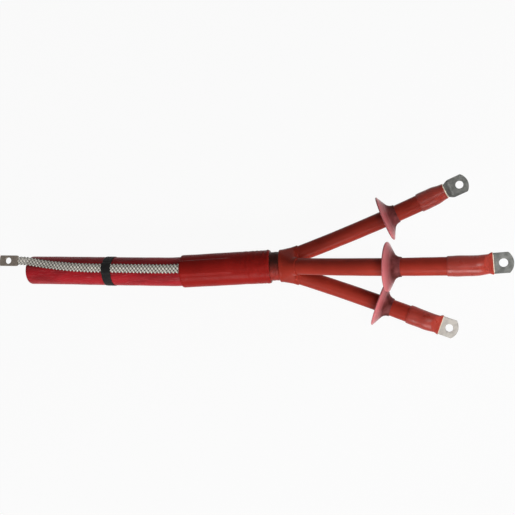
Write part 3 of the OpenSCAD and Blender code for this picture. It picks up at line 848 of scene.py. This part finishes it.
class TERMINATION_OT_sleeves(bpy.types.Operator):
    """Adds the sealing sleeve, the mastic wrap of the neck and the breakout boot"""
    bl_idname = "termination.sleeves"
    bl_label = "Sleeve and boot"

    def execute(self, context):
        self.sleeve(shrunk_finish("sleeve red", look().sleeve, 0.05, 0.26))
        self.neck()
        self.boot(shrunk_finish("boot red", look().tubes, 0.06, 0.28))
        return {"FINISHED"}

    def sleeve(self, red):
        lip, wave, bead, ridge, braid_room, edge = 0.5, 0.35, 0.7, 2.2, 2.75, 1.5
        crease = look().creases / MM
        ends = [SLEEVE_START, SLEEVE_START + 0.5] + stations(SLEEVE_START + edge, SLEEVE_END - edge, 2.0)
        ends += [SLEEVE_END - 0.5, SLEEVE_END]
        frames = [shifted(x) for x in ends]

        def over_braid(x, a):
            along = 1 - smooth((x + 52) / 20)
            return along * smooth((29 - abs(from_braid(a))) / 7)

        def outer(i, a):
            x = ends[i]
            p = around(x, SLEEVE_R, a)
            at_ends = smooth((x - SLEEVE_START - edge) / -edge) + smooth((x - SLEEVE_END + edge) / edge)
            creases = smooth((x + 40) / 40) * (crease * ripple((x * 2.2, p[1] * 0.6, p[2] * 0.6), 9, 11))
            waves = wave * ripple(p, 30, 5)
            beads = bead * math.exp(-((x - 25.5 - 1.5 * math.sin(a * 2)) / 1.6) ** 2)
            under = smooth((abs(from_braid(a)) - 120) / 30)
            uneven = (creases + waves + beads) * (1 - 0.9 * under)
            return SLEEVE_R - 0.3 + over_braid(x, a) * ridge - lip * at_ends + uneven

        def inner(i, a):
            return CABLE_R + 0.08 + (braid_room if abs(from_braid(a)) < 21 and ends[i] < -46 else 0)

        points, faces = wall(frames, outer, inner, FINE)
        finished("sealing_sleeve_shrunk", points, faces, red, ["sealing_sleeve"], 60)

    def neck(self):
        hidden_end, pitch, depth, thick, edge = -22.0, 8, 0.5, 3.0, 1.5
        ends = [hidden_end] + stations(SLEEVE_END - 4, BOOT_START + 3.5, 0.8)
        frames = [shifted(x) for x in ends]

        def outer(i, a):
            x = ends[i]
            p = around(x, CABLE_R, a)
            shown = smooth((x - SLEEVE_END) / edge) * smooth((BOOT_START - x) / edge)
            turn = (x / pitch + a / (2 * math.pi)) % 1.0
            return CABLE_R - 0.03 - shown * (0.8 + depth * turn + depth * ripple(p, 7, 2))

        points, faces = wall(frames, outer, lambda i, a: CABLE_R - thick, FINE)
        finished("neck_wrap_turns", points, faces, neck_finish(), ["neck_wrap"], 50)

    def boot(self, red):
        """A moulded skin over base ring, ways and fingers, bored for the neck and the cores."""
        neck_bore, voxel, sliver = 27.6, 0.0007, 0.00001
        base = ring(shifted(BOOT_RING_END - 1.5), BOOT_R - 0.4, COARSE)
        points, faces = loft([ring(shifted(x), BOOT_R, ROUND) for x in (BOOT_START, BOOT_RING_END)], False)
        body = bmesh.new()
        crotch = []
        for core in CORES:
            finger = [ring(up_core(core, x), FINGER_R, COARSE) for x in stations(-1.0, FINGER_LENGTH, 2.0)]
            extend(points, faces, finger)
            self.hull(body, base + finger[1])
            crotch += ring(up_core(core, 4.0), FINGER_R - 0.5, COARSE)
        self.hull(body, base + crotch)
        mesh = mesh_of("boot", points, faces)
        body.from_mesh(mesh)
        body.to_mesh(mesh)
        body.free()
        holder = linked("boot", mesh)
        skin = holder.modifiers.new("skin", "REMESH")
        skin.mode = "VOXEL"
        skin.voxel_size = voxel
        ease = holder.modifiers.new("ease", "SMOOTH")
        ease.factor = 0.5
        ease.iterations = 30
        neck = [ring(shifted(x), neck_bore, ROUND) for x in (BOOT_START - 3, BOOT_RING_END - 1)]
        bores = [self.cutter(neck)]
        for core in CORES:
            inside = stations(-2.0, FINGER_LENGTH + 4, 3.0)
            bores.append(self.cutter([ring(up_core(core, x), TRACK_R + 0.1, ROUND) for x in inside]))
        for bore in bores:
            cut = holder.modifiers.new("bore", "BOOLEAN")
            cut.operation = "DIFFERENCE"
            cut.object = bore
        made = applied("breakout_boot_moulded", holder, *bores)
        clean = bmesh.new()
        clean.from_mesh(made)
        bmesh.ops.triangulate(clean, faces=clean.faces)
        bmesh.ops.dissolve_degenerate(clean, edges=clean.edges, dist=sliver)
        bmesh.ops.triangulate(clean, faces=clean.faces)
        clean.to_mesh(made)
        clean.free()
        placed("breakout_boot_moulded", made, red, ["breakout_boot"], 50)

    def hull(self, body, points):
        made = [body.verts.new(p * MM) for p in points]
        bmesh.ops.convex_hull(body, input=made)

    def cutter(self, rings):
        mesh = mesh_of("bore", *loft(rings, False))
        face_outward(mesh)
        return linked("bore", mesh)


def lug_section(x):
    """Half width, half height, drop and squareness of a lug at a distance along it."""
    t = smooth((x - PRESS_START) / (PALM_START - PRESS_START))
    wide, tall = mix(BARREL_R, PALM_WIDTH / 2 - 0.05, t), mix(BARREL_R, PALM_THICK / 2 - 0.02, t)
    return wide, tall, LUG_DROP * t, mix(1.0, 0.35, t)


def squared(a, wide, tall, drop, power):
    """Point of a round section that is pressed towards a rectangle, across +X."""
    s, c = math.sin(a), math.cos(a)
    y, z = math.copysign(abs(s) ** power, s) * wide, math.copysign(abs(c) ** power, c) * tall + drop
    return Vector((0, y, z))


class TERMINATION_OT_tubes(bpy.types.Operator):
    """Adds the red tubes of the cores, the lug sleeves and the sealant at their mouths"""
    bl_idname = "termination.tubes"
    bl_label = "Core tubes"

    def execute(self, context):
        red = shrunk_finish("tube red", look().tubes, 0.08, 0.28)
        glossy = shrunk_finish("lug sleeve red", look().tubes, 0.26, 0.25)
        sealant = plain_finish("cream bead", (0.68, 0.6, 0.47), 0.45, 0.85)
        for core in CORES:
            self.tube(core, red)
            self.lug_sleeve(core, glossy, sealant)
        return {"FINISHED"}

    def tube(self, core, red):
        end = CORES[core]["lug_start"]
        ends = stations(0.0, end, 3.0)
        frames = [up_core(core, s) for s in ends]
        seed = 20 + list(CORES).index(core)

        def outer(i, a):
            p = around(ends[i], TRACK_R, a)
            free = smooth((ends[i] - 10) / 12) * smooth((end - ends[i] - 4) / 12)
            return TRACK_R - 0.02 + free * 0.16 * ripple(p, 26, seed)

        points, faces = wall(frames, outer, lambda i, a: STRESS_R + 0.05, ROUND)
        finished("track_tube_%s_skin" % core, points, faces, red, ["track_tube_" + core], 50)

    def lug_sleeve(self, core, red, sealant):
        c = CORES[core]
        start = c["lug_start"] - c["lap"]
        covers_neck = core != "upper"
        mouth = c["lug_start"] + (PALM_START - 0.6 if covers_neck else BARREL_LENGTH + 1.5)
        lip, lip_edge, mouth_lip, mouth_edge = 0.45, 1.4, 0.35, 1.0
        wall_thick, cover, least_wide, noise_r, sunk = 1.1, 1.6, 13.5, 16, 0.5
        ends = [start, start + 0.4] + stations(start + lip_edge, mouth - mouth_edge, 1.5)
        ends += [mouth - 0.4, mouth]
        lug = at_lug(core)
        seed = 40 + list(CORES).index(core)

        def section(s, thick):
            """Ring of the sleeve: round on the tube, then drawn down to the lug's flattened neck."""
            t = s - c["lug_start"]
            place = up_core(core, s)
            on_lug = lug @ shifted(t)
            flat = smooth((t - 25) / (PALM_START - 27)) if covers_neck else 0.0
            wide, tall, drop, power = lug_section(t)
            hug = cover - thick
            narrow = smooth((t - 20) / 20) * (0.0 if covers_neck else 0.16)
            lump = 0.5 * math.exp(-((t - 2) / 9) ** 2)
            lips = lip * smooth((start + lip_edge - s) / lip_edge)
            lips += mouth_lip * smooth((s - mouth + mouth_edge) / mouth_edge)
            points = []
            for a in angles(ROUND):
                uneven = 0.3 * ripple(around(s, noise_r, a), 14, seed)
                r = LUG_SLEEVE_R * (1 - narrow) + lump - lips + uneven - thick
                rounded = place @ Vector(around(0, r, a))
                half = max(wide, least_wide) + hug - lips
                pressed = squared(a, half, tall + hug - lips, drop, max(power, 0.6))
                points.append(rounded.lerp(on_lug @ pressed, flat))
            return points

        inner_start = c["lug_start"] + 1
        rings = [section(s, 0.0) for s in ends]
        rings += [section(s, wall_thick) for s in reversed(ends) if s > inner_start]
        on_tube = stations(inner_start - 1.5, start + 0.1, 4.0)
        rings += [ring(up_core(core, s), TRACK_R + 0.2, ROUND) for s in on_tube]
        points, faces = loft(rings)
        finished("lug_sleeve_%s_shrunk" % core, points, faces, red, ["lug_sleeve_" + core], 60)

        bead = []
        outline = section(mouth - 0.2, 0.75)
        axis = (up_core(core, mouth).to_3x3() @ Vector((1, 0, 0))).normalized()
        centre = sum(outline, Vector()) / len(outline)
        for k in range(5):
            b = math.pi * (k / 4 - 0.5)
            ahead, out = 1.5 * math.sin(b), 0.7 * math.cos(b) - 0.2
            bead.append([p + axis * ahead + (p - centre).normalized() * out for p in outline])
        at_mouth = mouth - c["lug_start"]
        wide, tall, drop, power = lug_section(at_mouth)
        for along in (0.9, -1.3):
            place = lug @ shifted(at_mouth + along)
            bead.append([place @ squared(a, wide - sunk, tall - sunk, drop, power) for a in angles(ROUND)])
        points, faces = loft(bead)
        finished("lug_sealant_bead_" + core, points, faces, sealant, (), 80)


class TERMINATION_OT_sheds(bpy.types.Operator):
    """Adds the rain sheds"""
    bl_idname = "termination.sheds"
    bl_label = "Rain sheds"

    def execute(self, context):
        pink = shed_finish(look())
        for core in CORES:
            self.shed(core, pink)
        return {"FINISHED"}

    def shed(self, core, pink):
        """Turns a profile of radius and height: rim, skirt, fillet, collar, bore and underside."""
        place = up_core(core, CORES[core]["shed"] - CROTCH_RUN)
        fall, sine, cosine = math.tan(SHED_DROOP), math.sin(SHED_DROOP), math.cos(SHED_DROOP)
        half = SHED_THICK / 2
        rim = SHED_R - half
        collar, bore, fillet = TRACK_R + SHED_COLLAR_WALL, TRACK_R + 0.15, SHED_FILLET
        step = half / cosine
        centre = (collar + fillet, (rim - collar - fillet) * fall + step + fillet / cosine)
        meet = (centre[0] - fillet * sine, centre[1] - fillet * cosine)
        profile = []
        for k in range(9):
            a = math.radians(180 * k / 8 - 90) - SHED_DROOP
            profile.append((rim + half * math.cos(a), half * math.sin(a)))
        profile += self.straight((rim + half * sine, half * cosine), meet, 8)
        for k in range(9):
            a = mix(math.radians(-90) - SHED_DROOP, math.radians(-180), k / 8)
            profile.append((centre[0] + fillet * math.cos(a), centre[1] + fillet * math.sin(a)))
        profile += [(collar, mix(centre[1], SHED_HEIGHT, 0.5)), (collar, SHED_HEIGHT - 0.5)]
        profile += [(collar - 0.4, SHED_HEIGHT), (bore, SHED_HEIGHT)]
        under = (rim - bore) * fall - step
        inside = (bore + 0.6, under - 0.3 * fall)
        profile += [(bore, under + 0.5), inside]
        profile += self.straight(inside, (rim - half * sine, -half * cosine), 7)
        rings, uv = [], []
        for r, h in profile:
            share = (r - bore) / (SHED_R - bore)
            line = []
            for k, a in enumerate(angles(CLOSE)):
                sway = 0.5 * share ** 2 * math.sin(2 * a + list(CORES).index(core))
                line.append(place @ Vector(around(h + sway, r, a)))
                uv.append((k / CLOSE, share))
            rings.append(line)
        points, faces = loft(rings)
        name = "rain_shed_" + core
        finished(name + "_moulded", points, faces, pink, [name], 60, uv)

    def straight(self, a, b, parts):
        """Points between the ends of a line."""
        return [(mix(a[0], b[0], k / parts), mix(a[1], b[1], k / parts)) for k in range(1, parts)]


class TERMINATION_OT_lugs(bpy.types.Operator):
    """Adds the tinned lugs"""
    bl_idname = "termination.lugs"
    bl_label = "Lugs"

    def execute(self, context):
        dark = tin_finish("tinned lug", look().tin, 0.6, 0.42, 0.5)
        # Painted light: the lower lug gets a paler, warmer copy of the tin for the light it catches.
        pale = tin_finish("pale tinned lug", (0.47, 0.445, 0.405), 0.8, 0.45, 0.3)
        for core in CORES:
            self.lug(core, pale if core == "lower" else dark)
        return {"FINISHED"}

    def lug(self, core, tin):
        place = at_lug(core)
        bore, depth = CONDUCTOR_R + 0.2, PRESS_START + 1
        rings = [ring(place, BARREL_R - 0.5, COARSE)]
        rings += [ring(place @ shifted(x), BARREL_R, COARSE) for x in (0.6, 20.0, PRESS_START)]
        for x in stations(depth, PALM_START, 1.2) + [PALM_START + 0.5]:
            on_lug = place @ shifted(x)
            rings.append([on_lug @ squared(a, *lug_section(x)) for a in angles(COARSE)])
        bottom = place @ shifted(depth)
        rings += [ring(bottom, 0.5, COARSE), ring(bottom, bore, COARSE), ring(place, bore, COARSE)]
        barrel, skin = loft(rings)
        palm = place @ Matrix.Translation((LUG_REACH, 0, LUG_DROP))
        points, faces = palm_skin(palm, PALM_TO_HOLE, HOLE_TO_TIP, PALM_WIDTH, PALM_END_RADIUS,
                                  LUG_HOLE_R, PALM_THICK, chamfer=0.6, start=len(barrel))
        name = "cable_lug_" + core
        finished(name + "_tinned", barrel + points, skin + faces, tin, [name], 35)


class TERMINATION_PT_panel(bpy.types.Panel):
    """Lists the steps that dress the termination"""
    bl_idname = "TERMINATION_PT_panel"
    bl_label = "Termination"
    bl_space_type = "VIEW_3D"
    bl_region_type = "UI"
    bl_category = "Termination"

    def draw(self, context):
        for name in TerminationLook.__annotations__:
            self.layout.prop(context.scene.termination_look, name)
        for step in STEPS:
            self.layout.operator(step.bl_idname)


STEPS = (
    TERMINATION_OT_stage, TERMINATION_OT_layers, TERMINATION_OT_cable, TERMINATION_OT_braid,
    TERMINATION_OT_sleeves, TERMINATION_OT_tubes, TERMINATION_OT_sheds, TERMINATION_OT_lugs,
)
CLASSES = (TerminationLook, *STEPS, TERMINATION_PT_panel)


def register():
    for item in CLASSES:
        bpy.utils.register_class(item)
    bpy.types.Scene.termination_look = bpy.props.PointerProperty(type=TerminationLook)


def unregister():
    del bpy.types.Scene.termination_look
    for item in reversed(CLASSES):
        bpy.utils.unregister_class(item)


def main():
    register()
    bpy.ops.termination.stage()
    bpy.ops.termination.layers()
    bpy.ops.termination.cable()
    bpy.ops.termination.braid()
    bpy.ops.termination.sleeves()
    bpy.ops.termination.tubes()
    bpy.ops.termination.sheds()
    bpy.ops.termination.lugs()


if __name__ == "__main__":
    main()
